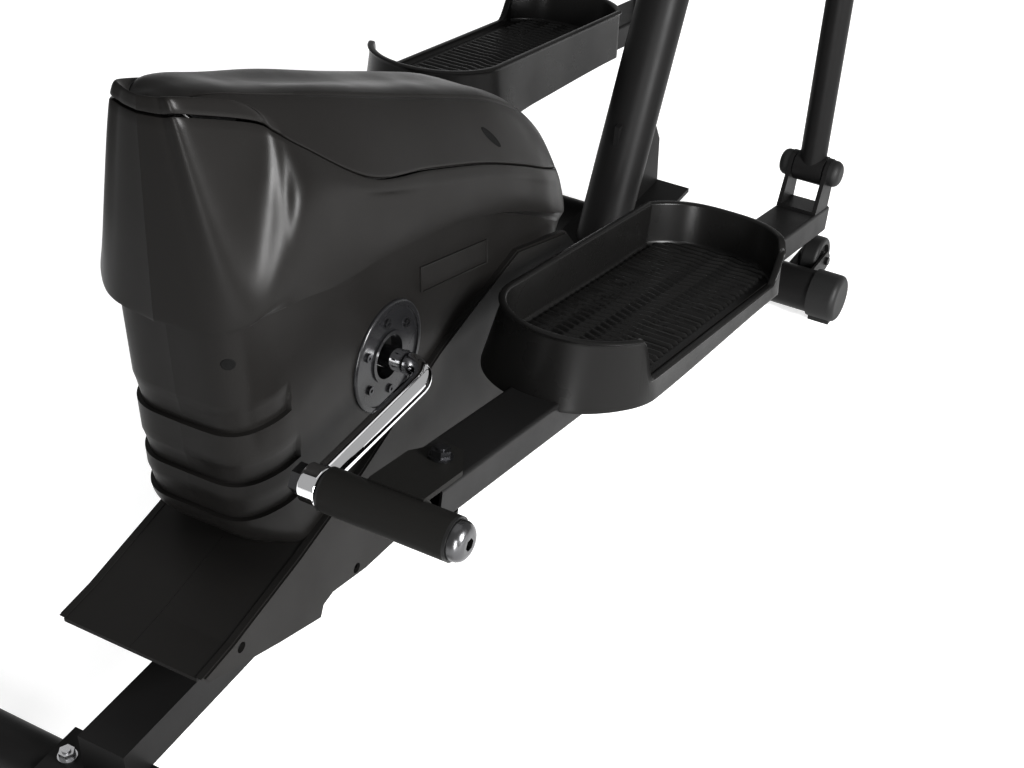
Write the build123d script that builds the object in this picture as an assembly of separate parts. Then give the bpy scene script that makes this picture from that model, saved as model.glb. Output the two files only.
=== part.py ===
"""Elliptical trainer with a rear drive: every node is built in millimetres and written to parts/NODE.step.

+X is the user's right, +Y forward and +Z up. The parts are laid out about the crank axle, then moved
along Y so that the whole machine is centred on the origin.
"""

import os
from math import atan2, cos, degrees, hypot, radians, sin, sqrt

from build123d import *

os.makedirs("parts", exist_ok=True)

# Driving dimensions
SHIFT_Y = -377.14  # from the crank axle to the middle of the footprint
AXLE_Z = 310.0
THROW = 178.0
CRANK_R = 10.5
ARM_X = 117.0
CRANK_BEND = 24.0
FIT = 0.05  # radial running clearance

BAR_X = 189.0
BAR_W = 53.0
BAR_H = 33.0
BAR_TILT = -13.3  # right foot bar at rest, nose down
BAR_START = 35.0
BAR_END = 962.0
SLEEVE_R = 19.5
SLEEVE_X = (130.5, 248.0)

FRONT_PIVOT = (755.0, 155.0)  # right swing arm's lower pivot (y, z)
MAST_PIVOT = (860.0, 930.0)  # both swing arms hang here

STAB_R = 26.0
STAB_Z = 29.0
WHEEL_Y = 747.0
STAB_FRONT_Y = 686.0
STAB_REAR_Y = -350.0
SPINE_Z = (57.0, 97.0)
MAST_R = 30.0

SIDE_X = 70.0  # flat lower side of the housing
BULGE_X = 88.0  # upper body overhangs the side
SKIRT_X = 78.0
WALL = 3.0

PULLEY_R = 130.0
SMALL_PULLEY_R = 18.0
FLY_C = (-75.0, 470.0)
FLY_R = 92.0
BELT_X = (-57.0, -45.0)
IDLER_R = 20.0
MAGNET_PIVOT = (-163.0, 401.0)

# Side outlines of the housing as (y, z)
TOP_LINE = [
    (-199, 196), (-207, 300), (-208, 420), (-208, 530), (-203, 590), (-187, 626), (-158, 638), (-121, 622),
    (-58, 593), (10, 562), (90, 522), (201, 466), (256, 434), (296, 402), (338, 353), (360, 322), (375, 291),
    (384, 259), (383, 228), (372, 200), (352, 165),
]
CREASE_LINE = [
    (-300, 470), (-190, 466), (-148, 460), (-101, 447), (2, 430), (84, 407), (173, 373), (286, 309), (400, 215),
]
PARTING_LINE = [
    (-160, 625), (-109, 580), (-46, 522), (-18, 505), (26, 485), (107, 453), (196, 410), (274, 365), (330, 312),
    (420, 215),
]
SKIRT_LINE = [(-300, 171), (-258, 175), (-158, 194), (-59, 219), (10, 243), (81, 267), (136, 279), (228, 296), (330, 262)]
SKIRT_LOW = [
    (376, 205), (352, 150), (300, 112), (150, 98), (-15, 98), (-62, 103), (-115, 116), (-129, 113), (-135, 101),
    (-197, 123), (-292, 160),
]

SKIRT_SCREWS = ((-248, 164), (-76, 116))


def circle_meet(c0, r0, c1, r1, near):
    """The crossing of two circles that is closest to a given point."""
    d = hypot(c1[0] - c0[0], c1[1] - c0[1])
    a = (r0 * r0 - r1 * r1 + d * d) / (2 * d)
    h = sqrt(r0 * r0 - a * a)
    ey, ez = (c1[0] - c0[0]) / d, (c1[1] - c0[1]) / d
    base = (c0[0] + a * ey, c0[1] + a * ez)
    ends = [(base[0] - k * h * ez, base[1] + k * h * ey) for k in (1, -1)]
    return min(ends, key=lambda p: hypot(p[0] - near[0], p[1] - near[1]))


PIN_RIGHT = (-THROW, AXLE_Z)
PIN_LEFT = (THROW, AXLE_Z)
LINK = hypot(FRONT_PIVOT[0] - PIN_RIGHT[0], FRONT_PIVOT[1] - PIN_RIGHT[1])
SWING = hypot(FRONT_PIVOT[0] - MAST_PIVOT[0], FRONT_PIVOT[1] - MAST_PIVOT[1])
FRONT_LEFT = circle_meet(PIN_LEFT, LINK, MAST_PIVOT, SWING, (1111.0, 187.0))
LINE_RIGHT = degrees(atan2(FRONT_PIVOT[1] - PIN_RIGHT[1], FRONT_PIVOT[0] - PIN_RIGHT[0]))
LINE_LEFT = degrees(atan2(FRONT_LEFT[1] - PIN_LEFT[1], FRONT_LEFT[0] - PIN_LEFT[0]))
TILT_LEFT = BAR_TILT + LINE_LEFT - LINE_RIGHT
PIVOT_S = LINK * cos(radians(LINE_RIGHT - BAR_TILT))
PIVOT_N = LINK * sin(radians(LINE_RIGHT - BAR_TILT))


def arm_angle(pivot):
    return degrees(atan2(pivot[0] - MAST_PIVOT[0], MAST_PIVOT[1] - pivot[1]))


# Small shape helpers
def box(x, y, z):
    return Pos((x[0] + x[1]) / 2, (y[0] + y[1]) / 2, (z[0] + z[1]) / 2) * Box(x[1] - x[0], y[1] - y[0], z[1] - z[0])


def rod(p, q, r, bore=0.0):
    """A round bar or tube between two points."""
    p, q = Vector(*p), Vector(*q)
    ring = Circle(r) - Circle(bore) if bore else Circle(r)
    return extrude(Plane(origin=p, z_dir=q - p) * ring, (q - p).length)


def rod_x(x, y, z, r, bore=0.0):
    return rod((x[0], y, z), (x[1], y, z), r, bore)


def hex_x(x, y, z, flats):
    return extrude(Plane(origin=(x[0], y, z), x_dir=(0, 1, 0), z_dir=(1, 0, 0)) * RegularPolygon(flats / 2, 6, major_radius=False), x[1] - x[0])


def prism_x(points, x):
    """A side outline given as (y, z), pushed out along X."""
    face = make_face(Polyline(*[(x[0], y, z) for y, z in points], close=True))
    return extrude(face, x[1] - x[0], dir=(1, 0, 0))


def drawn_in(points, amount):
    """A closed outline, listed clockwise, moved inward with mitred corners."""
    out = []
    for i, (y, z) in enumerate(points):
        (ay, az), (by, bz) = points[i - 1], points[(i + 1) % len(points)]
        u, v = (y - ay, z - az), (by - y, bz - z)
        nu, nv = hypot(*u), hypot(*v)
        n = ((u[1] / nu + v[1] / nv), -(u[0] / nu + v[0] / nv))
        scale = amount / max(0.3, (n[0] * n[0] + n[1] * n[1]) / 2)
        out.append((y + n[0] * scale, z + n[1] * scale))
    return out


def bent(points, radius, r, bore=0.0):
    """A tube along straight runs with bends of one radius."""
    path = FilletPolyline(*points, radius=radius)
    ring = Circle(r) - Circle(bore) if bore else Circle(r)
    return sweep(Plane(origin=path @ 0, z_dir=path % 0) * ring, path=path)


def solids_of(shapes):
    out = []
    for shape in shapes if isinstance(shapes, (list, tuple)) else [shapes]:
        out += list(shape.solids())
    return out


def save(name, shapes):
    moved = [s.moved(Location((0, SHIFT_Y, 0))) for s in solids_of(shapes)]
    export_step(Compound(moved), f"parts/{name}.step")


def both(shape):
    """A right-hand shape and its mirror image."""
    return [*solids_of(shape), *solids_of(mirror(shape, Plane.YZ))]


def round_edges(shape, edges, radius):
    return fillet(edges, radius) if edges else shape


def idler_centre():
    """The idler rests on the outside of the belt, below and in front of the axle."""
    reach = PULLEY_R + 2.6 + IDLER_R + 0.1
    return (reach * cos(radians(-64)), AXLE_Z + reach * sin(radians(-64)))


# Base frame
def build_frame():
    spine = box((-25, 25), (-352, 720), SPINE_Z) - box((-22, 22), (-349, 717), (60, 94))
    frame = spine
    for y in (STAB_REAR_Y, STAB_FRONT_Y):
        saddle = box((-62, 62), (y - 30, y + 30), (46, 57)) - rod_x((-80, 80), y, STAB_Z, STAB_R)
        frame += saddle
    frame += box((-46, 46), (512, 668), (92, 97))
    frame += box((-20, 20), (-25, 25), (97, 300)) - box((-17, 17), (-22, 22), (97, 282))
    frame += rod_x((-34, 34), 0, AXLE_Z, 26)
    frame += box((-31, 31), (-110, -40), (97, 102))
    for x in ((26, 31), (-31, -26)):
        plate = [(-110, 97), (-40, 97), (-40, 460), (-55, 498), (-95, 498), (-110, 460), (-110, 418),
                 (-178, 418), (-178, 386), (-160, 380), (-110, 392)]
        frame += prism_x(plate, x)
    frame += box((-22, 22), (-17, 17), (330, 341))
    for y in (120, -75):
        frame += box((-66.5, 66.5), (y - 12, y + 12), (97, 101))
        frame += box((63.5, 66.5), (y - 12, y + 12), (97, 150))
        frame += box((-66.5, -63.5), (y - 12, y + 12), (97, 150))
    frame += rod_x((-31, 31), *MAGNET_PIVOT, 5)
    idler = idler_centre()
    frame += rod_x((-60, -38), *idler, 6) + rod_x((-41, -37), *idler, 11)
    frame += box((-41, -37), (idler[0] - 8, idler[0] + 8), (idler[1] - 9, 196))
    frame += box((-41, -17), (18, idler[0] + 8), (190, 196))
    frame -= rod_x((-40, 40), 0, AXLE_Z, 21)
    frame -= rod_x((-40, 40), *FLY_C, 16)
    for x in (-45, 45):
        for y in (STAB_REAR_Y, STAB_FRONT_Y):
            frame -= rod((x, y, 40), (x, y, 70), 4.3)
    for x in (-36, 36):
        for y in (530, 650):
            frame -= rod((x, y, 80), (x, y, 110), 4.3)
    save("main_frame", frame)

    for name, y, wheels in (("rear_stabiliser", STAB_REAR_Y, False), ("front_stabiliser", STAB_FRONT_Y, True)):
        tube = rod_x((-262, 262), y, STAB_Z, STAB_R)
        if wheels:
            for x0 in (193, 222, -225, -196):
                lug = [(y + 5, 22), (y + 5, 50), (y + 66, 48), (y + 74, 36), (y + 66, 24)]
                tube += prism_x(lug, (x0, x0 + 3))
            for x in ((190, 228), (-228, -190)):
                tube += rod_x(x, WHEEL_Y, 36, 5)
        tube -= rod_x((-259, 259), y, STAB_Z, STAB_R - 2.5)
        for x in (-45, 45):
            tube -= rod((x, y, 40), (x, y, 70), 4.3)
        save(name, tube)
    for name, y in (("rear_end_caps", STAB_REAR_Y), ("front_end_caps", STAB_FRONT_Y)):
        cap = rod_x((234, 269), y, STAB_Z, 29)
        cap = fillet(cap.edges().filter_by(GeomType.CIRCLE).sort_by(Axis.X)[-1], 7)
        cap += box((236, 262), (y - 17, y + 17), (0, 10))
        cap -= rod_x((230, 262), y, STAB_Z, STAB_R)
        save(name, both(cap))
    wheels = rod_x((198, 220), WHEEL_Y, 36, 28)
    wheels = fillet(wheels.edges().filter_by(GeomType.CIRCLE), 4) - rod_x((190, 230), WHEEL_Y, 36, 5 + FIT)
    for x in ((196, 203), (215, 224)):
        groove = rod_x(x, WHEEL_Y, 36, 20) - rod_x(x, WHEEL_Y, 36, 11)
        wheels -= groove
    save("transport_wheel_right", wheels)
    save("transport_wheel_left", mirror(wheels, Plane.YZ))

    bolts = []
    for x in (-45, 45):
        for y in (STAB_REAR_Y, STAB_FRONT_Y):
            bolts.append(rod((x, y, 44), (x, y, 67), 4) + rod((x, y, 57), (x, y, 59), 9)
                         + extrude(Pos(x, y, 59) * RegularPolygon(6.5, 6, major_radius=False), 6))
    for x in (-36, 36):
        for y in (530, 650):
            bolts.append(rod((x, y, 84), (x, y, 112), 4) + rod((x, y, 102), (x, y, 104), 9)
                         + extrude(Pos(x, y, 104) * RegularPolygon(6.5, 6, major_radius=False), 6))
    save("frame_bolts", bolts)


# Mast, handlebar and console
def build_mast():
    route = [(0, 555, 71), (0, 852, 614), (0, 860, 1230)]
    mast = bent(route, 150, MAST_R) + prism_x([(580, 97), (716, 97), (716, 162), (680, 232), (600, 232)], (-3, 3))
    mast += box((-46, 46), (512, 718), (97, 102))
    mast -= bent([(0, 547, 57), (0, 852, 614), (0, 860, 1226)], 150, MAST_R - 2.5)
    mast -= box((-80, 80), (400, 800), (0, 97))
    mast += rod_x((-160, 160), *MAST_PIVOT, 17)
    mast -= rod_x((-170, 170), *MAST_PIVOT, 10)
    for x in (-36, 36):
        for y in (530, 650):
            mast -= rod((x, y, 90), (x, y, 110), 4.3)
    save("mast", mast)
    save("pivot_axle", rod_x((-216, 216), *MAST_PIVOT, 10))
    cap = rod_x((213.5, 224), *MAST_PIVOT, 23)
    cap = fillet(cap.edges().filter_by(GeomType.CIRCLE).sort_by(Axis.X)[-1], 7) - rod_x((210, 216), *MAST_PIVOT, 10)
    save("axle_caps", both(cap))

    ends = [(150, 640, 1215), (150, 770, 1120), (60, 811, 1110)]
    route = ends + [(-x, y, z) for x, y, z in reversed(ends)]
    save("handlebar", bent(route, 40, 14, 12))
    clamp = box((-40, 40), (790, 896), (1088, 1132))
    clamp = fillet(clamp.edges().filter_by(Axis.Z), 8)
    tilt = Plane(origin=(0, 852, 614), z_dir=(0, 8, 616))
    clamp -= extrude(tilt * Circle(MAST_R), 700)
    clamp -= rod_x((-50, 50), 811, 1110, 14)
    save("handlebar_clamp", clamp)
    tip, knee = Vector(150, 640, 1215), Vector(150, 770, 1120)
    run = (knee - tip).normalized()
    grip = rod(tip - run * 3, tip + run * 100, 17.5) - rod(tip, tip + run * 120, 14)
    sensor = rod(tip + run * 103, tip + run * 128, 15.5, 14)
    save("handlebar_grips", both(grip))
    save("pulse_sensors", both(sensor))

    face = Plane(origin=(0, 835, 1305), x_dir=(1, 0, 0), z_dir=(0, -0.766, 0.643))
    body = extrude(RectangleRounded(250, 170, 30), -42)
    body = fillet(body.faces().sort_by(Axis.Z)[-1].edges(), 5)
    body = fillet(body.faces().sort_by(Axis.Z)[0].edges(), 12)
    body -= Pos(0, 22, 0) * extrude(RectangleRounded(170, 86, 8), -3)
    for x in (-50, 0, 50):
        body -= Pos(x, -52, -6) * Cylinder(9.3, 12.1)
    body = face * body + box((-33, 33), (836, 886), (1231, 1286))
    save("console_body", body)
    lens = face * Pos(0, 22, 0) * Pos(0, 0, -3) * extrude(RectangleRounded(170, 86, 8), 2.6)
    save("console_lens", lens)
    for name, x in (("button_down", -50), ("button_mode", 0), ("button_up", 50)):
        key = extrude(Circle(9), 10.5)
        key = fillet(key.edges().sort_by(Axis.Z)[-1], 2)
        save(name, face * Pos(x, -52, -8) * key)


# Housing
def side_section(x, inset):
    """The side outline at one distance from the middle, drawn in by an amount along its own normal."""
    rim = []
    count = len(TOP_LINE)
    for i, (y, z) in enumerate(TOP_LINE):
        before, after = TOP_LINE[max(i - 1, 0)], TOP_LINE[min(i + 1, count - 1)]
        dy, dz = after[0] - before[0], after[1] - before[1]
        size = hypot(dy, dz)
        rim.append(Vector(x, y + inset * dz / size, z - inset * dy / size))
    base = Polyline(rim[-1], (x, 330 - inset, 60), (x, -195 + inset, 60), rim[0])
    return make_face(Spline(*rim) + base)


def rounded_side(half_width, radius, inset):
    """A side outline widened to a half width, its outer edges rounded in steps."""
    flank = [(half_width - radius * (1 - c), radius * (1 - s)) for c, s in ((0.0, 1.0), (0.47, 0.883), (0.79, 0.616), (0.96, 0.276), (1.0, 0.0))]
    sections = [side_section(-x + inset, r + inset) for x, r in reversed(flank)]
    sections += [side_section(x - inset, r + inset) for x, r in flank]
    return loft(sections, ruled=True)


def housing_solid(inset):
    high = [(-420, 900)] + CREASE_LINE + [(420, 900)]
    core = rounded_side(SIDE_X, 18, inset)
    bulge = rounded_side(BULGE_X, 34, inset)
    above = prism_x([(y, z + inset) for y, z in high], (-100, 100))
    return core + (bulge & above)


def build_housing():
    shell = housing_solid(0) - housing_solid(WALL)
    low = [(-420, 40), (-420, 202), (-128, 202), (-118, 118), (300, 118), (352, 150), (420, 150), (420, 40)]
    shell -= prism_x(low, (-100, 100))
    cover_zone = prism_x([(-160, 760)] + PARTING_LINE + [(430, 760)], (-100, 100))
    seam = prism_x([(-160.6, 760)] + [(y - 0.6, z - 0.6) for y, z in PARTING_LINE] + [(430, 759.4)], (-100, 100))
    save("housing_top_cover", shell & cover_zone)
    halves = shell - seam
    hole = rod_x((-90, 90), 0, AXLE_Z, 50)
    badge = prism_x([(50, 378), (168, 342), (168, 318), (50, 354)], (SIDE_X - 0.8, 100))
    for sign, name in ((1, "housing_right"), (-1, "housing_left")):
        half = halves & (box((0.15, 120), (-400, 500), (0, 800)) if sign > 0 else box((-120, -0.15), (-400, 500), (0, 800)))
        half -= hole
        half -= badge if sign > 0 else mirror(badge, Plane.YZ)
        parts = sorted(half.solids(), key=lambda s: -s.volume)
        save(name, parts[0])

    outline = SKIRT_LINE + SKIRT_LOW
    plate = prism_x(outline, (SIDE_X + 0.1, SKIRT_X - 2)) + prism_x(drawn_in(outline, 2), (SKIRT_X - 2, SKIRT_X))
    plate -= prism_x(drawn_in(SKIRT_LINE[2:] + SKIRT_LOW[:-1], 6), (SIDE_X, SKIRT_X - 3))
    deck = [(-300, 170), (-258, 174), (-158, 193), (-134, 198), (-134, 194), (-158, 189), (-258, 170), (-300, 166)]
    plate += prism_x(deck, (0.15, SIDE_X + 1))
    for y, z in SKIRT_SCREWS:
        plate -= rod_x((60, 90), y, z, 5.2)
    save("skirt_right", plate)
    save("skirt_left", mirror(plate, Plane.YZ))
    screws = []
    for y, z in SKIRT_SCREWS:
        screws += solids_of(rod_x((SIDE_X + 0.1, SIDE_X + 3.5), y, z, 5.2) - hex_x((SIDE_X + 1.5, SIDE_X + 5), y, z, 4))
    save("housing_screws", screws + [s for part in screws for s in solids_of(mirror(part, Plane.YZ))])

    disc = rod_x((SIDE_X + 0.1, SIDE_X + 4), 0, AXLE_Z, 54)
    disc = fillet(disc.edges().filter_by(GeomType.CIRCLE).sort_by(Axis.X)[-1], 2.5)
    disc -= rod_x((SIDE_X + 2.2, SIDE_X + 5), 0, AXLE_Z, 48.4) - rod_x((SIDE_X, SIDE_X + 6), 0, AXLE_Z, 25)
    disc += rod_x((SIDE_X - 8, SIDE_X + 0.1), 0, AXLE_Z, 49)
    disc -= rod_x((SIDE_X - 10, SIDE_X + 10), 0, AXLE_Z, 21)
    screws = []
    for k in range(6):
        a = radians(30 + 60 * k)
        y, z = 36 * cos(a), AXLE_Z + 36 * sin(a)
        screws += solids_of(rod_x((SIDE_X + 2.2, SIDE_X + 4.4), y, z, 4.2) - hex_x((SIDE_X + 3.2, SIDE_X + 5), y, z, 3))
    save("crank_covers", both(disc))
    save("cover_screws", screws + [s for part in screws for s in solids_of(mirror(part, Plane.YZ))])


# Drive train
def build_drive():
    bearing = rod_x((22, 34), 0, AXLE_Z, 21, CRANK_R + FIT)
    save("crank_bearings", both(bearing))
    route = [(ARM_X, -THROW + 15.5, AXLE_Z), (ARM_X, 0, AXLE_Z), (-ARM_X, 0, AXLE_Z), (-ARM_X, THROW - 15.5, AXLE_Z)]
    crank = bent(route, CRANK_BEND, CRANK_R)
    for side, pin in ((1, PIN_RIGHT), (-1, PIN_LEFT)):
        x = (108, 126) if side > 0 else (-126, -108)
        eye = rod_x(x, *pin, 17)
        eye = fillet(eye.edges().filter_by(GeomType.CIRCLE), 2.5)
        crank += eye
    for side, pin in ((1, PIN_RIGHT), (-1, PIN_LEFT)):
        x = (100, 130) if side > 0 else (-130, -100)
        crank -= rod_x(x, *pin, 8)
    save("crank", crank)

    bolts = []
    for side, pin in ((1, PIN_RIGHT), (-1, PIN_LEFT)):
        head = rod_x((251, 263), *pin, 17.5)
        head = fillet(head.edges().filter_by(GeomType.CIRCLE).sort_by(Axis.X)[-1], 9)
        bolt = rod_x((97, 251), *pin, 8) + head + hex_x((98.5, 108), *pin, 24)
        bolt -= hex_x((256, 270), *pin, 10)
        bolts += solids_of(bolt if side > 0 else mirror(bolt, Plane.YZ))
    save("pedal_bolts", bolts)

    pulley = rod_x(BELT_X, 0, AXLE_Z, PULLEY_R) - rod_x((-60, -53), 0, AXLE_Z, PULLEY_R - 12) - rod_x((-49, -40), 0, AXLE_Z, PULLEY_R - 12)
    pulley += rod_x((-62, -40), 0, AXLE_Z, 24)
    for k in range(5):
        a = radians(72 * k)
        pulley -= rod_x((-70, -30), 75 * cos(a), AXLE_Z + 75 * sin(a), 26)
    pulley -= rod_x((-70, -30), 0, AXLE_Z, CRANK_R)
    save("drive_pulley", pulley)

    wheel = rod_x((-12, 12), *FLY_C, FLY_R)
    wheel -= rod_x((6, 20), *FLY_C, FLY_R - 16) - rod_x((0, 20), *FLY_C, 22)
    wheel -= rod_x((-20, -6), *FLY_C, FLY_R - 16) - rod_x((-20, 0), *FLY_C, 22)
    wheel += rod_x((-20, 20), *FLY_C, 20)
    wheel -= rod_x((-30, 30), *FLY_C, 7.5)
    save("flywheel", wheel)
    shaft = rod_x((-58, 33), *FLY_C, 7.5) + rod_x(BELT_X, *FLY_C, SMALL_PULLEY_R)
    save("flywheel_axle", shaft)
    save("flywheel_bearings", both(rod_x((26, 31), *FLY_C, 16, 7.5 + FIT)))

    dy, dz = FLY_C[0], FLY_C[1] - AXLE_Z
    outer = make_hull((Circle(PULLEY_R + 2.6) + Pos(dy, dz) * Circle(SMALL_PULLEY_R + 2.6)).edges())
    inner = make_hull((Circle(PULLEY_R + 0.1) + Pos(dy, dz) * Circle(SMALL_PULLEY_R + 0.1)).edges())
    ring = Plane(origin=(BELT_X[0] + 1, 0, AXLE_Z), x_dir=(0, 1, 0), z_dir=(1, 0, 0)) * (outer - inner)
    save("drive_belt", extrude(ring, 10))

    save("idler_wheel", rod_x(BELT_X, *idler_centre(), IDLER_R, 6 + FIT))

    near, far = FLY_R + 10, FLY_R + 16
    turns = [radians(150 + 4 * k) for k in range(14)]
    pad = [(FLY_C[0] + far * cos(a), FLY_C[1] + far * sin(a)) for a in turns]
    pad += [(FLY_C[0] + near * cos(a), FLY_C[1] + near * sin(a)) for a in reversed(turns)]
    arm = prism_x(pad, (-18, 18)) + rod_x((-22, 22), *MAGNET_PIVOT, 11)
    foot = [(MAGNET_PIVOT[0] - 9, MAGNET_PIVOT[1]), (MAGNET_PIVOT[0] + 9, MAGNET_PIVOT[1]), (-160, 428), (-178, 440)]
    arm += prism_x(foot, (-18, 18))
    arm -= rod_x((-25, 25), *MAGNET_PIVOT, 5 + FIT)
    arm -= rod_x((-25, 25), *FLY_C, near)
    save("magnet_bracket", arm)
    magnets = []
    for a in (156, 171, 186):
        y, z = FLY_C[0] + (FLY_R + 6.5) * cos(radians(a)), FLY_C[1] + (FLY_R + 6.5) * sin(radians(a))
        block = Plane(origin=(0, y, z), x_dir=(1, 0, 0), z_dir=(0, cos(radians(a)), sin(radians(a)))) * Box(28, 18, 4.4)
        magnets += solids_of(block)
    save("magnets", magnets)
    save("tension_motor", fillet(box((-22, 22), (-17, 17), (341, 368)).edges().filter_by(Axis.X), 5))


# Foot bars and everything that rides on them, in the bar's own frame: origin on the crank pin, +Y along the bar
def build_bars():
    x0, x1 = BAR_X - BAR_W / 2, BAR_X + BAR_W / 2
    h = BAR_H / 2
    bar = box((x0, x1), (BAR_START, BAR_END), (-h, h))
    bar = fillet(bar.edges().filter_by(Axis.Y), 3.5)
    bar -= box((x0 + 2.5, x1 - 2.5), (0, BAR_END - 3), (-h + 2.5, h - 2.5))
    screw_s = (330, 430, 530, 630)
    bar -= rod((BAR_X, 74, -40), (BAR_X, 74, 40), 5.2)
    for s in screw_s:
        bar -= rod((BAR_X, s, -40), (BAR_X, s, 40), 3.2)

    hinge = rod_x(SLEEVE_X, 0, 0, SLEEVE_R)
    for sign in (1, -1):
        tongue = make_face(Polyline((x0, 4), (x1, 4), (x1, 66), (BAR_X + 17, 84), (BAR_X + 9, 99), (BAR_X - 9, 99), (BAR_X - 17, 84), (x0, 66), close=True))
        low = h if sign > 0 else -h - 5
        plate = extrude(Pos(0, 0, low) * tongue, 5)
        plate = fillet(plate.edges().filter_by(Axis.Z), 3)
        hinge += plate
    web = rod_x((x0, x1), 0, 0, h + 5) & box((x0, x1), (4, 40), (-30, 30))
    hinge += web
    hinge -= rod_x((100, 260), 0, 0, 15)
    hinge -= rod((BAR_X, 74, -40), (BAR_X, 74, 40), 5.2)
    bush = rod_x((128.2, 130.5), 0, 0, SLEEVE_R) + rod_x((130.5, 149), 0, 0, 15) - rod_x((120, 155), 0, 0, 8 + FIT)
    bush2 = rod_x((248, 250.6), 0, 0, SLEEVE_R) + rod_x((228, 248), 0, 0, 15) - rod_x((220, 255), 0, 0, 8 + FIT)

    top = h + 5
    bolt = rod((BAR_X, 74, -top - 1), (BAR_X, 74, top + 10), 5)
    bolt += rod((BAR_X, 74, top), (BAR_X, 74, top + 2), 11)
    bolt += extrude(Plane(origin=(BAR_X, 74, top + 2)) * RegularPolygon(8, 6, major_radius=False), 6)
    head = rod((BAR_X, 74, -top - 6), (BAR_X, 74, -top), 10)
    bolts = [bolt + head]
    for s in screw_s:
        bolts.append(rod((BAR_X, s, -h - 4), (BAR_X, s, -h), 7) + rod((BAR_X, s, -h), (BAR_X, s, h + 7), 3))

    base, floor, rim = h - 8, h + 12, h + 60
    near, far, half = 329.0, 681.0, 80.0
    rows = [(BAR_X - half * cos(radians(t)), near - half * sin(radians(t))) for t in range(0, 181, 12)]
    ends = [(BAR_X + u, far - 40 * (abs(u) / 79) ** 2.9) for u in (80, 72, 60, 44, 22, 0, -22, -44, -60, -72, -80)]
    outline = make_face(Polyline(*rows, *ends, close=True))
    inset = offset(outline, amount=-5, kind=Kind.INTERSECTION)
    plate = extrude(Pos(0, 0, base) * outline, rim - base)
    plate -= extrude(Pos(0, 0, floor) * inset, rim)
    under = extrude(Pos(0, 0, base - 1) * inset, floor - 4 - base + 1)
    for s in screw_s:
        under -= box((x0 - 4, x1 + 4), (s - 9, s + 9), (h, floor))
    plate -= under
    plate -= box((x0 - 0.3, x1 + 0.3), (200, 720), (base - 1, h))
    side_cut = prism_x([(304, rim + 5), (313, floor + 2), (634, floor + 2), (648, rim + 5)], (BAR_X + half - 12, BAR_X + half + 5))
    plate -= side_cut
    for s in screw_s:
        plate -= rod((BAR_X, s, 0), (BAR_X, s, h + 7), 3.2)
    for k in range(9):
        s = 320 + 38 * k
        plate += box((BAR_X - 66, BAR_X + 64), (s, s + 6), (floor, floor + 2.2))

    ears = box((BAR_X - 25, BAR_X + 25), (PIVOT_S - 30, PIVOT_S + 14), (h, h + 3))
    for x in ((BAR_X - 25, BAR_X - 20), (BAR_X + 20, BAR_X + 25)):
        ear = prism_x([(PIVOT_S - 30, h), (PIVOT_S + 14, h), (PIVOT_S + 17, PIVOT_N), (PIVOT_S - 17, PIVOT_N)], x)
        ears += ear + rod_x(x, PIVOT_S, PIVOT_N, 17)
    cap = rod_x((BAR_X + 25, BAR_X + 38), PIVOT_S, PIVOT_N, 16)
    cap = fillet(cap.edges().filter_by(GeomType.CIRCLE).sort_by(Axis.X)[-1], 8)
    cap2 = rod_x((BAR_X - 38, BAR_X - 25), PIVOT_S, PIVOT_N, 16)
    cap2 = fillet(cap2.edges().filter_by(GeomType.CIRCLE).sort_by(Axis.X)[0], 8)

    pieces = {
        "foot_bar": [bar], "pedal_hinge": [hinge], "hinge_bushes": [bush, bush2], "bar_bolts": bolts,
        "foot_plate": [plate], "pivot_fork": [ears], "pivot_caps": [cap, cap2],
    }
    for side, pin, tilt in (("right", PIN_RIGHT, BAR_TILT), ("left", PIN_LEFT, TILT_LEFT)):
        place = Location((0, pin[0], pin[1])) * Rotation(tilt, 0, 0)
        for name, shapes in pieces.items():
            made = [place * (s if side == "right" else mirror(s, Plane.YZ)) for s in shapes]
            save(f"{name}_{side}", made)


# Swing arms, each built hanging straight down from the mast pivot and then swung to its place
def build_arms():
    arm = bent([(BAR_X, 0, -SWING), (BAR_X, 0, 60), (BAR_X, 30, 240), (BAR_X + 8, -95, 420), (BAR_X + 8, -105, 590)], 70, 16)
    arm += rod_x((165, 213), 0, 0, 25) + rod_x((171, 207), 0, -SWING, 18)
    arm -= bent([(BAR_X, 0, -SWING + 30), (BAR_X, 0, 60), (BAR_X, 30, 240), (BAR_X + 8, -95, 420), (BAR_X + 8, -105, 587)], 70, 14)
    arm += rod_x((165, 213), 0, 0, 25)
    arm -= rod_x((150, 230), 0, 0, 10 + FIT) + rod_x((150, 230), 0, -SWING, 8)
    tip, knee = Vector(BAR_X + 8, -105, 590), Vector(BAR_X + 8, -95, 420)
    run = (knee - tip).normalized()
    grip = rod(tip - run * 6, tip + run * 120, 20)
    grip = fillet(grip.edges().filter_by(GeomType.CIRCLE), 5) - rod(tip, tip + run * 130, 16)
    pivot = rod_x((170, 208), 0, -SWING, 8)
    for side, foot in (("right", FRONT_PIVOT), ("left", FRONT_LEFT)):
        place = Location((0, MAST_PIVOT[0], MAST_PIVOT[1])) * Rotation(arm_angle(foot), 0, 0)
        for name, shape in (("swing_arm", arm), ("handle_grip", grip), ("arm_pivot", pivot)):
            save(f"{name}_{side}", place * (shape if side == "right" else mirror(shape, Plane.YZ)))


build_frame()
build_mast()
build_housing()
build_drive()
build_bars()
build_arms()
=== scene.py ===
from math import cos, radians, sin, sqrt, pi

import bpy
import numpy as np
from mathutils import Matrix, Vector


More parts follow.
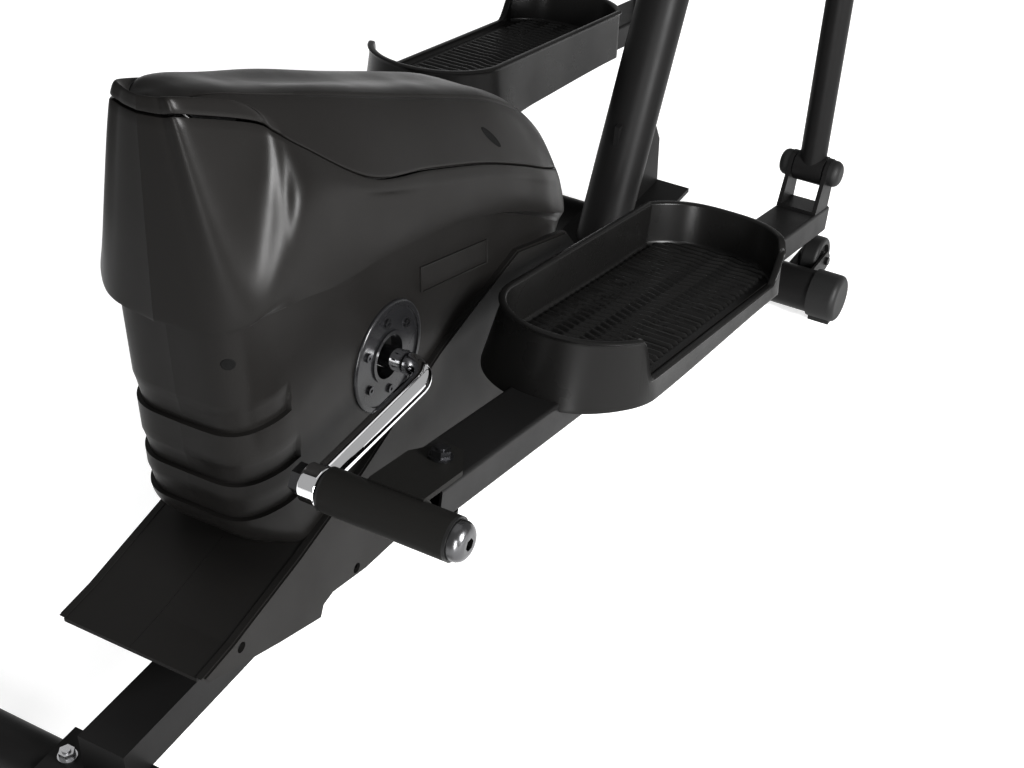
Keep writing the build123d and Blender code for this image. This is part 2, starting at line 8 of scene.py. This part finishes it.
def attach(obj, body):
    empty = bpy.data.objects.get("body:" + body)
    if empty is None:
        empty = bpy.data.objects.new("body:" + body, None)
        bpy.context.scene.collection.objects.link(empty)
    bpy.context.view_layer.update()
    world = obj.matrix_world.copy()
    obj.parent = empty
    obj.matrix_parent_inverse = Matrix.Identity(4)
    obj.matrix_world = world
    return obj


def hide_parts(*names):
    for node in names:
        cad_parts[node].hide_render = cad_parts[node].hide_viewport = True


# Lengths are millimetres from the crank axle: x to the right, y forward, z up from the floor
AXLE_TO_CENTRE = -377.14
MM = 0.001
AXLE_Z = 310.0
THROW = 178.0
RIGHT, LEFT = 1, -1
# Where each crank pin is at rest, as (forward, up)
CRANK_PIN = {RIGHT: (-THROW, AXLE_Z), LEFT: (THROW, AXLE_Z)}

# Foot bars and trays: distances along the bar from its crank pin, and heights above the bar's middle
BAR_X = 189.0
BAR_TILT = {RIGHT: -13.3, LEFT: -11.0894}
TRAY_NEAR, TRAY_FAR, TRAY_HALF, TRAY_WALL = 329.0, 681.0, 80.0, 5.0
TRAY_FLOOR, TRAY_RIM, TRAY_BASE = 28.5, 76.5, 8.5
END_BOW, END_HALF, END_POWER = 40, 79, 2.9
EDGE_STEP = 4
RIB_PITCH, RIB_HEIGHT = 11.5, 3.0
FADE_BASE = 2.718

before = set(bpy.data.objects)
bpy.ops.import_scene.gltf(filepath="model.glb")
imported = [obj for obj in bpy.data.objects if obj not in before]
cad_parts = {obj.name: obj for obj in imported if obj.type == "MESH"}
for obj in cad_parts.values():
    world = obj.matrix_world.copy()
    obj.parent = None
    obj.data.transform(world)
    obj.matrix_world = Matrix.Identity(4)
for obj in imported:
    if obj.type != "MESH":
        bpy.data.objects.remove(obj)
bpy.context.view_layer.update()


# ---------------------------------------------------------------- finishes
def grained(name, colour, rough, grain, depth, metal=0.0, coat=0.0, patch=0.06, specular=0.5):
    """A finish with a fine grain in relief and a slow drift in its roughness."""
    mat = bpy.data.materials.new(name)
    mat.use_nodes = True
    nodes, links = mat.node_tree.nodes, mat.node_tree.links
    shader = nodes["Principled BSDF"]
    shader.inputs["Base Color"].default_value = (*colour, 1)
    shader.inputs["Metallic"].default_value = metal
    shader.inputs["Specular IOR Level"].default_value = specular
    shader.inputs["Coat Weight"].default_value = coat
    shader.inputs["Coat Roughness"].default_value = 0.25
    place = nodes.new("ShaderNodeTexCoord")
    fine = nodes.new("ShaderNodeTexNoise")
    fine.inputs["Scale"].default_value = grain
    fine.inputs["Detail"].default_value = 3
    bump = nodes.new("ShaderNodeBump")
    bump.inputs["Strength"].default_value = depth
    bump.inputs["Distance"].default_value = 0.0004
    slow = nodes.new("ShaderNodeTexNoise")
    slow.inputs["Scale"].default_value = 14
    slow.inputs["Detail"].default_value = 4
    drift = nodes.new("ShaderNodeMapRange")
    drift.inputs["From Min"].default_value = 0.3
    drift.inputs["From Max"].default_value = 0.7
    drift.inputs["To Min"].default_value = rough - patch
    drift.inputs["To Max"].default_value = rough + patch
    links.new(place.outputs["Object"], fine.inputs["Vector"])
    links.new(place.outputs["Object"], slow.inputs["Vector"])
    links.new(fine.outputs["Fac"], bump.inputs["Height"])
    links.new(bump.outputs["Normal"], shader.inputs["Normal"])
    links.new(slow.outputs["Fac"], drift.inputs["Value"])
    links.new(drift.outputs["Result"], shader.inputs["Roughness"])
    return mat


LOOKS = {
    "frame_paint": grained("satin_black_paint", (0.0085, 0.0083, 0.0083), 0.42, 700, 0.18, specular=0.13),
    "housing_plastic": grained(
        "grained_black_plastic", (0.0085, 0.0080, 0.0076), 0.34, 1500, 0.20, specular=0.12
    ),
    "skirt_plastic": grained("matt_black_plastic", (0.0095, 0.0090, 0.0086), 0.42, 1500, 0.22, specular=0.12),
    "plate_plastic": grained("tray_black_plastic", (0.0072, 0.0070, 0.0068), 0.30, 1300, 0.14, specular=0.14),
    "crank_chrome": grained("bright_chrome", (0.78, 0.78, 0.79), 0.07, 60, 0.02, metal=1.0, patch=0.03),
    "disc_steel": grained(
        "black_pressed_steel", (0.014, 0.014, 0.015), 0.27, 500, 0.06, metal=0.3, patch=0.05, specular=0.4
    ),
    "bolt_steel": grained("gunmetal", (0.11, 0.11, 0.113), 0.28, 400, 0.08, metal=1.0, patch=0.08),
    "black_bolt": grained("black_oxide", (0.045, 0.045, 0.048), 0.30, 500, 0.10, metal=0.9),
    "bright_bolt": grained("zinc_plate", (0.52, 0.52, 0.53), 0.26, 400, 0.08, metal=1.0),
    "bush_nylon": grained("black_nylon", (0.009, 0.009, 0.009), 0.40, 800, 0.10, specular=0.3),
    "end_rubber": grained("cap_rubber", (0.009, 0.009, 0.009), 0.55, 800, 0.20, specular=0.3),
    "grip_foam": grained("grip_foam_skin", (0.017, 0.017, 0.017), 0.75, 420, 0.80, specular=0.3),
    "sensor_chrome": grained("sensor_plate", (0.70, 0.70, 0.71), 0.12, 60, 0.02, metal=1.0, patch=0.03),
    "axle_steel": grained("ground_steel", (0.42, 0.42, 0.43), 0.24, 400, 0.05, metal=1.0),
    "flywheel_iron": grained("cast_iron", (0.09, 0.09, 0.095), 0.48, 300, 0.35, metal=0.8),
    "pulley_plastic": grained("pulley_nylon", (0.03, 0.03, 0.03), 0.42, 700, 0.12),
    "belt_rubber": grained("belt_skin", (0.016, 0.016, 0.016), 0.62, 900, 0.30),
    "magnet_metal": grained("nickel_plate", (0.48, 0.47, 0.45), 0.30, 300, 0.06, metal=1.0),
    "console_plastic": grained("console_shell", (0.025, 0.025, 0.027), 0.40, 1400, 0.18),
    "screen_lens": grained("dark_lens", (0.010, 0.012, 0.014), 0.08, 60, 0.01, coat=0.6, patch=0.02),
    "key_plastic": grained("key_grey", (0.16, 0.16, 0.165), 0.45, 1200, 0.12),
}
SLEEVE_LOOK = grained("sleeve_matt_black", (0.0085, 0.0082, 0.0076), 0.62, 1000, 0.35, specular=0.12)
# Painted shade: a near-black finish standing for the shade inside the cover's slot and the rear hole
HOLLOW_SHADE_LOOK = grained("shaded_hollow", (0.004, 0.004, 0.004), 0.8, 300, 0.05, specular=0.1)

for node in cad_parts.values():
    for place in node.material_slots:
        if place.material:
            place.material = LOOKS.get(place.material.name.split(".")[0], place.material)
for name in ("pedal_hinge_right", "pedal_hinge_left"):
    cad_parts[name].data.materials[0] = SLEEVE_LOOK


# ---------------------------------------------------------------- mesh helpers
def build(name, verts, faces, slot_name, body, stands_for=(), sharp=38, look=None):
    """Makes one piece from points in millimetres and hangs it on its CAD body."""
    data = bpy.data.meshes.new(name)
    places = [(x * MM, (y + AXLE_TO_CENTRE) * MM, z * MM) for x, y, z in verts]
    data.from_pydata(places, [], faces)
    data.validate()
    data.materials.append(look or LOOKS[slot_name])
    data.shade_smooth()
    data.set_sharp_from_angle(angle=radians(sharp))
    obj = bpy.data.objects.new(name, data)
    bpy.context.collection.objects.link(obj)
    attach(obj, body)
    if stands_for:
        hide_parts(*stands_for)


def sheet_faces(rows, columns, start=0, closed=False, keep=None):
    """Four-sided faces over a grid of points, leaving out those that keep(row, column) turns down."""
    faces = []
    for i in range(rows - 1):
        for j in range(columns if closed else columns - 1):
            k = (j + 1) % columns
            if keep is None or keep(i, j):
                a = start + i * columns
                b = a + columns
                faces.append((a + j, a + k, b + k, b + j))
    return faces


def flow(points, per):
    """A smooth curve through the points, with the same number of steps in every span."""
    p = np.array(points, dtype=float)
    p = np.vstack([2 * p[0] - p[1], p, 2 * p[-1] - p[-2]])
    out = []
    for i in range(1, len(p) - 2):
        for k in range(per):
            out.append(spline(p[i - 1], p[i], p[i + 1], p[i + 2], k / per))
    out.append(p[-2])
    return np.array(out)


def spline(a, b, c, d, t):
    """A point a fraction t of the way from b to c on the smooth curve through a, b, c and d."""
    square, cube = 2 * a - 5 * b + 4 * c - d, 3 * b - a - 3 * c + d
    return 0.5 * (2 * b + (c - a) * t + square * t * t + cube * t ** 3)


# ---------------------------------------------------------------- housing
# Each line runs from the middle of the rear, round the corner, along the right side
# and round the nose to the middle again
WALL_FOOT = [
    (0, -199, 196), (38, -198, 196), (57, -184, 196), (68, -158, 196), (70.5, -130, 196),
    (71, -90, 196), (71, -20, 216), (71, 70, 246), (71, 160, 266), (71, 230, 268), (68, 285, 246),
    (48, 330, 205), (0, 352, 176),
]
WALL_HEAD = [
    (0, -202, 452), (38, -199, 452), (58, -187, 452), (68, -161, 452), (70.5, -130, 452),
    (71, -90, 438), (71, -20, 426), (71, 70, 403), (71, 160, 371), (71, 230, 336), (71, 292, 297),
    (57, 350, 260), (0, 398, 238),
]
CREASE = [
    (0, -213, 458), (42, -207, 458), (66, -190, 459), (80, -160, 459), (86, -130, 456), (88, -90, 445),
    (88, -20, 433), (88, 70, 410), (88, 160, 378), (87, 230, 343), (82, 292, 306), (61, 352, 272),
    (0, 402, 254),
]
RIDGE = [
    (0, -214, 470), (44, -206, 470), (68, -192, 474), (78, -172, 486), (81, -142, 508), (82, -104, 528),
    (83, -26, 488), (85, 70, 446), (85, 160, 409), (84, 230, 373), (79, 290, 336), (59, 349, 301),
    (0, 398, 282),
]
PARTING = [
    (0, -202, 632), (19, -198, 632), (33, -189, 632), (43, -124, 599), (51, -108, 585), (61, -87, 564),
    (79, -20, 507), (78, 70, 469), (78, 160, 429), (78, 230, 392), (74, 288, 358), (55, 342, 328),
    (0, 386, 308),
]
STRIP = [
    (0, -196, 637), (11, -192, 637), (20, -184, 637), (27, -166, 636), (31, -140, 627), (35, -92, 605),
    (40, -20, 573), (42, 70, 530), (45, 160, 488), (46, 230, 453), (43, 290, 411), (30, 348, 360),
    (0, 376, 332),
]
CENTRE = [
    (0, -189, 639), (0, -186, 640), (0, -180, 640), (0, -163, 639), (0, -138, 631), (0, -92, 608),
    (0, -20, 574), (0, 70, 534), (0, 160, 494), (0, 230, 460), (0, 292, 420), (0, 345, 372),
    (0, 367, 344),
]
STEPS = 14
FOOT_Z, HEAD_Z = 196.0, 452.0
CREASE_LEVEL, RIDGE_LEVEL, PARTING_LEVEL, STRIP_LEVEL = 2, 3, 4, 5
LEVELS = [flow(line, STEPS) for line in (WALL_FOOT, WALL_HEAD, CREASE, RIDGE, PARTING, STRIP, CENTRE)]
# Recessed bands round the rear: lower edge, upper edge, and how far forward the band ends
BAND_DEPTH = 4.2
BANDS = ((344.0, 372.0, -143.0), (290.0, 313.0, -137.0), (252.0, 275.0, -141.0))


def level(k, t):
    """The line a fraction t of the way from level k to the next one up."""
    if k < CREASE_LEVEL:
        return LEVELS[k] * (1 - t) + LEVELS[k + 1] * t
    if k > CREASE_LEVEL:
        before = LEVELS[k - 1]
    else:
        before = (2 * LEVELS[CREASE_LEVEL] - LEVELS[RIDGE_LEVEL]) * np.array((0.86, 1, 1))
    if k < STRIP_LEVEL:
        after = LEVELS[k + 2]
    else:
        after = LEVELS[STRIP_LEVEL] * np.array((-1, 1, 1))
    return spline(before, LEVELS[k], LEVELS[k + 1], after, t)


def outward(k, t):
    """The unit normals along the line a fraction t above level k."""
    low, high = level(k, max(t - 0.02, 0)), level(k, min(t + 0.02, 1))
    along = np.gradient(level(k, t), axis=0)
    n = np.cross(along, high - low)
    return n / np.maximum(np.linalg.norm(n, axis=1), 1e-9)[:, None]


def shell_rows(marks):
    """One row of points for each (level, fraction, depth below the surface)."""
    return [level(k, t) - outward(k, t) * d for k, t, d in marks]


def spread(k, first, last, count):
    """Evenly spaced marks on level k, on the surface."""
    return [(k, first + (last - first) * i / (count - 1), 0.0) for i in range(count)]


def band_depth(y, z):
    """How deep a point of the rear wall is sunk: most at a band's lower edge, fading upwards."""
    for low, high, end in BANDS:
        if low <= z <= high and y < end:
            return BAND_DEPTH * ((high - z) / (high - low)) ** 0.8
    return 0.0


def lower_wall():
    """The wall below the crease, with the recessed bands, drawn in at its foot behind the crank."""
    heights = {FOOT_Z, HEAD_Z}
    for low, high, _ in BANDS:
        heights.update((low, low - 0.6, high))
    z = FOOT_Z + 4
    while z < HEAD_Z - 2:
        if min(abs(z - h) for h in heights) > 2:
            heights.add(z)
        z += 5.0
    rows = []
    for z in sorted(heights):
        t = (z - FOOT_Z) / (HEAD_Z - FOOT_Z)
        line, out = level(0, t).copy(), outward(0, t)
        for j in range(len(line)):
            line[j] -= out[j] * band_depth(line[j][1], z)
            drawn_in = (max(252.0 - z, 0) / 56.0) ** 1.7
            line[j][1] += 40.0 * drawn_in * min(max((-128.0 - line[j][1]) / 64.0, 0), 1)
        rows.append(line)
    rows += shell_rows([(1, 0.5, 0), (1, 1.0, 0)])
    return rows


def bored_faces(rows, bore):
    """Faces over the rows, with a round opening for the crank axle."""
    def keep(i, j):
        x, y, z = rows[i][j]
        return x <= 40 or y * y + (z - AXLE_Z) ** 2 > bore * bore
    return sheet_faces(len(rows), len(rows[0]), keep=keep)


def side_body(name, sign, stands_for):
    """One half of the housing, up to the turned-in edge along the parting line."""
    rows = lower_wall()
    rows += shell_rows(spread(CREASE_LEVEL, 0.05, 1.0, 10) + spread(RIDGE_LEVEL, 0.1, 0.9, 10))
    rows += shell_rows([(RIDGE_LEVEL, 0.965, 0), (RIDGE_LEVEL, 0.985, 0.7), (RIDGE_LEVEL, 0.985, 6)])
    faces = bored_faces(rows, bore=26)
    points = [(sign * p[0], p[1], p[2]) for row in rows for p in row]
    if sign < 0:
        faces = [f[::-1] for f in faces]
    build(name, points, faces, "housing_plastic", "frame", stands_for, sharp=50)


def top_cover():
    """The cover over both halves, with a groove along each side of its top strip."""
    marks = [(PARTING_LEVEL, 0.018, 6), (PARTING_LEVEL, 0.018, 0.7), (PARTING_LEVEL, 0.035, 0)]
    marks += spread(PARTING_LEVEL, 0.08, 0.93, 14)
    marks += [(PARTING_LEVEL, 0.975, 0), (PARTING_LEVEL, 1.0, 1.2), (STRIP_LEVEL, 0.03, 0)]
    marks += spread(STRIP_LEVEL, 0.09, 1.0, 9)
    rows = shell_rows(marks)
    columns = len(rows[0])
    points = [tuple(p) for row in rows for p in row]
    faces = sheet_faces(len(rows), columns)
    count = len(points)
    points += [(-x, y, z) for x, y, z in points]
    faces += [tuple(count + i for i in f[::-1]) for f in faces]
    build("top_cover_skin", points, faces, "housing_plastic", "frame", ["housing_top_cover"], sharp=50)


def plaque():
    """The blank recessed name-plate panel: a thin raised border round a sunk field."""
    corners = [(58, 372), (177, 336), (177, 309), (57, 345)]
    rings = ((0, 70.0), (0.4, 72.6), (2.2, 72.9), (3.0, 71.4), (30, 71.4))
    cy, cz = 117.0, 340.5
    half_length, half_height = 62, 33
    points = []
    for inset, x in rings:
        for y, z in corners:
            dy, dz = y - cy, z - cz
            points.append((x, cy + dy * (1 - inset / half_length), cz + dz * (1 - inset / half_height)))
    faces = sheet_faces(len(rings), 4, closed=True)
    faces.append((16, 17, 18, 19))
    build("name_panel_right", points, faces, "skirt_plastic", "frame", sharp=30)


def surface_point(k, t, j, lift):
    """A point of the housing's skin, raised by lift, where j counts steps along the line."""
    line = level(k, t) + outward(k, t) * lift
    i = int(j)
    return line[i] * (1 - (j - i)) + line[i + 1] * (j - i)


def painted_shade_patch(name, k, t, j, half_t, half_j, lean):
    """A near-black patch laid on the housing's skin with a rolled edge: painted shade standing for the dark
    inside of a recess.
    """
    rings = ((1.0, -0.4), (0.97, 0.25), (0.86, 0.45), (0.74, 0.2), (0.4, 0.12), (0.02, 0.12))
    turns = 28
    points = []
    for size, lift in rings:
        for i in range(turns):
            a = 2 * pi * i / turns
            along, up = size * cos(a), size * sin(a)
            spot = surface_point(k, t + half_t * (up + lean * along), j + half_j * along, lift)
            points.append(tuple(spot))
    faces = sheet_faces(len(rings), turns, closed=True)
    faces.append(tuple(range((len(rings) - 1) * turns, len(rings) * turns)))
    build(name, points, faces, "housing_plastic", "frame", sharp=60, look=HOLLOW_SHADE_LOOK)


side_body("housing_right_skin", RIGHT, ["housing_right"])
side_body("housing_left_skin", LEFT, ["housing_left"])
top_cover()
plaque()
# The cover's slot and the rear hole are near-black raised patches: painted shade, with no opening cut
painted_shade_patch("cover_slot", PARTING_LEVEL, 0.42, 8.45 * STEPS, 0.085, 2.4, -1.2)
painted_shade_patch("rear_hole", 0, 0.865, 1.6 * STEPS, 0.022, 4.0, 0.0)


# ---------------------------------------------------------------- foot trays
def tray_outline():
    """The tray's outer edge seen from above, as (across, along) from the near end round the outer side."""
    points = []
    for k in range(61):
        a = radians(180 + 3 * k)
        points.append((TRAY_HALF * cos(a), TRAY_NEAR + TRAY_HALF * sin(a)))
    s = TRAY_NEAR + EDGE_STEP
    end = TRAY_FAR - END_BOW * (TRAY_HALF / END_HALF) ** END_POWER
    while s < end:
        points.append((TRAY_HALF, s))
        s += EDGE_STEP
    for k in range(41):
        u = TRAY_HALF * cos(pi * k / 40)
        points.append((u, TRAY_FAR - END_BOW * (abs(u) / END_HALF) ** END_POWER))
    s = end - EDGE_STEP
    while s > TRAY_NEAR + 3:
        points.append((-TRAY_HALF, s))
        s -= EDGE_STEP
    return np.array(points)


def smooth_step(v, low, high):
    """Rises smoothly from 0 at low to 1 at high."""
    t = min(max((v - low) / (high - low), 0), 1)
    return t * t * (3 - 2 * t)


def rim_height(u, s):
    """The wall's top: level all round, except where the outer side is open for stepping on."""
    if u < 60:
        return TRAY_RIM
    near = 1 - smooth_step(s, 296, 318)
    far = smooth_step(s, 618, 650)
    sill = TRAY_FLOOR + 4
    return sill + (TRAY_RIM - TRAY_FLOOR - 4) * max(near, far)


def base_height(s):
    """The wall's foot: lowest at the near end, rising towards the far end."""
    return TRAY_BASE + 8 * smooth_step(s, 330, 640)


def flare(u, s):
    """How far the foot of the wall stands out from its rim: most at the near end."""
    return 3.0 + 9.0 * (1 - smooth_step(s, 300, 420)) * (1 - smooth_step(u, 20, 75))


def rib(u, s):
    """The wavy ribs across the tread, ending in a smooth strip along the outer side."""
    wavy_middle = -25 + 35 * (s - 300) / 300
    waviness = FADE_BASE ** (-((u - wavy_middle) / 30) ** 2)
    zigzag = abs((u / 15) % 2 - 1) - 0.5
    phase = (s + 6.0 * zigzag * waviness) / RIB_PITCH
    peak = 0.5 + 0.5 * cos(2 * pi * phase)
    inside = smooth_step(u, -70, -67) * (1 - smooth_step(u, 61, 64)) * smooth_step(s, 266, 272)
    return RIB_HEIGHT * inside * smooth_step(peak, 0.25, 0.8)


def tray(name, side, body, stands_for):
    """A foot tray: its wall with a rolled lip, and its ribbed floor."""
    edge = tray_outline()
    along = np.roll(edge, -1, axis=0) - np.roll(edge, 1, axis=0)
    along /= np.linalg.norm(along, axis=1)[:, None]
    out = np.stack([along[:, 1], -along[:, 0]], axis=1)
    profile = (
        (-TRAY_WALL, "base", 0), (0, "base", 0), (0, "base", 3),
        (0, "rim", -6), (0.5, "rim", -3.6), (2.0, "rim", -2.4), (2.8, "rim", -1.2), (2.0, "rim", 0),
        (0.6, "rim", 0.5), (-3.2, "rim", 0.4), (-4.6, "rim", -0.4), (-5.2, "rim", -2),
        (-5.6, "floor", 5), (-6.4, "floor", 1.6), (-8.5, "floor", 0.0), (-11, "floor", -0.2),
    )
    local = []
    for across, datum, up in profile:
        for (u, s), (ou, os_) in zip(edge, out):
            rim = rim_height(u, s)
            if datum == "base":
                across = min(across, 0) + flare(u, s)
            height = {"base": base_height(s), "rim": rim, "floor": min(TRAY_FLOOR, rim - 3)}[datum]
            local.append((u + across * ou, s + across * os_, height + up))
    faces = sheet_faces(len(profile), len(edge), closed=True)
    start = len(local)
    rows, columns = 300, 110
    inner_near, inner_half = TRAY_NEAR, TRAY_HALF - 8
    low, high = TRAY_NEAR - inner_half, TRAY_FAR - 8.5
    for i in range(rows):
        s = low + (high - low) * i / (rows - 1)
        if s < inner_near:
            width = sqrt(max(inner_half ** 2 - (inner_near - s) ** 2, 0.2))
        else:
            bow = max((TRAY_FAR - 8 - s) / END_BOW, 1e-4)
            width = min(inner_half, END_HALF * bow ** (1 / END_POWER))
        for j in range(columns):
            u = width * (2 * j / (columns - 1) - 1)
            edge_fade = min((width - abs(u)) / 3, 1)
            local.append((u, s, TRAY_FLOOR + rib(u, s) * max(edge_fade, 0)))
    faces += [f[::-1] for f in sheet_faces(rows, columns, start)]
    pin = CRANK_PIN[side]
    tilt = radians(BAR_TILT[side])
    points = []
    for u, s, n in local:
        y = pin[0] + s * cos(tilt) - n * sin(tilt)
        z = pin[1] + s * sin(tilt) + n * cos(tilt)
        points.append((side * (BAR_X + u), y, z))
    if side > 0:
        faces = [f[::-1] for f in faces]
    build(name, points, faces, "plate_plastic", body, stands_for, sharp=55)


tray("foot_tray_right", RIGHT, "bar_right", ["foot_plate_right"])
tray("foot_tray_left", LEFT, "bar_left", ["foot_plate_left"])


# ---------------------------------------------------------------- floor, light and camera
def studio_floor():
    mat = grained("pale_floor", (0.5, 0.5, 0.5), 0.85, 200, 0.02, specular=0.1)
    glow = mat.node_tree.nodes["Principled BSDF"]
    glow.inputs["Emission Color"].default_value = (1, 1, 1, 1)
    glow.inputs["Emission Strength"].default_value = 0.7
    bpy.ops.mesh.primitive_plane_add(size=14, location=(0, 0, 0))
    floor = bpy.context.object
    floor.name = "floor"
    floor.data.materials.append(mat)


def soft_box(name, place, aim, size, power):
    data = bpy.data.lights.new(name, "AREA")
    data.shape = "RECTANGLE"
    data.size, data.size_y = size
    data.energy = power
    lamp = bpy.data.objects.new(name, data)
    lamp.location = place
    lamp.rotation_euler = (Vector(aim) - Vector(place)).to_track_quat("-Z", "Y").to_euler()
    bpy.context.collection.objects.link(lamp)


def pale_world(strength):
    world = bpy.data.worlds.new("studio")
    world.use_nodes = True
    back = world.node_tree.nodes["Background"]
    back.inputs["Color"].default_value = (1, 1, 1, 1)
    back.inputs["Strength"].default_value = strength
    bpy.context.scene.world = world


studio_floor()
pale_world(0.55)
soft_box("rear_box", (1.35, -2.25, 0.8), (0, -0.4, 0.5), (0.55, 1.2), 60)
soft_box("top_box", (-0.6, 0.6, 3.6), (0, 0.0, 0.0), (3.4, 3.4), 20)
soft_box("side_box", (2.5, -0.55, 1.35), (0.08, -0.5, 0.5), (0.45, 1.0), 190)


def camera():
    """A camera behind and to the right of the machine, looking down at the crank."""
    turn, lift, roll = radians(29.47), radians(37.3), radians(0.3)
    right = Vector((cos(turn), sin(turn), 0))
    ahead = Vector((-sin(turn), cos(turn), 0))
    view = ahead * cos(lift) - Vector((0, 0, sin(lift)))
    up = ahead * sin(lift) + Vector((0, 0, cos(lift)))
    right, up = right * cos(roll) + up * sin(roll), up * cos(roll) - right * sin(roll)
    data = bpy.data.cameras.new("camera")
    data.lens = 63.1
    data.sensor_width = 36
    data.clip_start = 0.05
    obj = bpy.data.objects.new("camera", data)
    place = Matrix((
        (right.x, up.x, -view.x, 0.8049),
        (right.y, up.y, -view.y, -1.4480),
        (right.z, up.z, -view.z, 1.2643),
        (0, 0, 0, 1),
    ))
    obj.matrix_world = place
    bpy.context.collection.objects.link(obj)
    bpy.context.scene.camera = obj


camera()
bpy.context.scene.view_settings.view_transform = "Standard"
bpy.context.scene.view_settings.gamma = 0.82
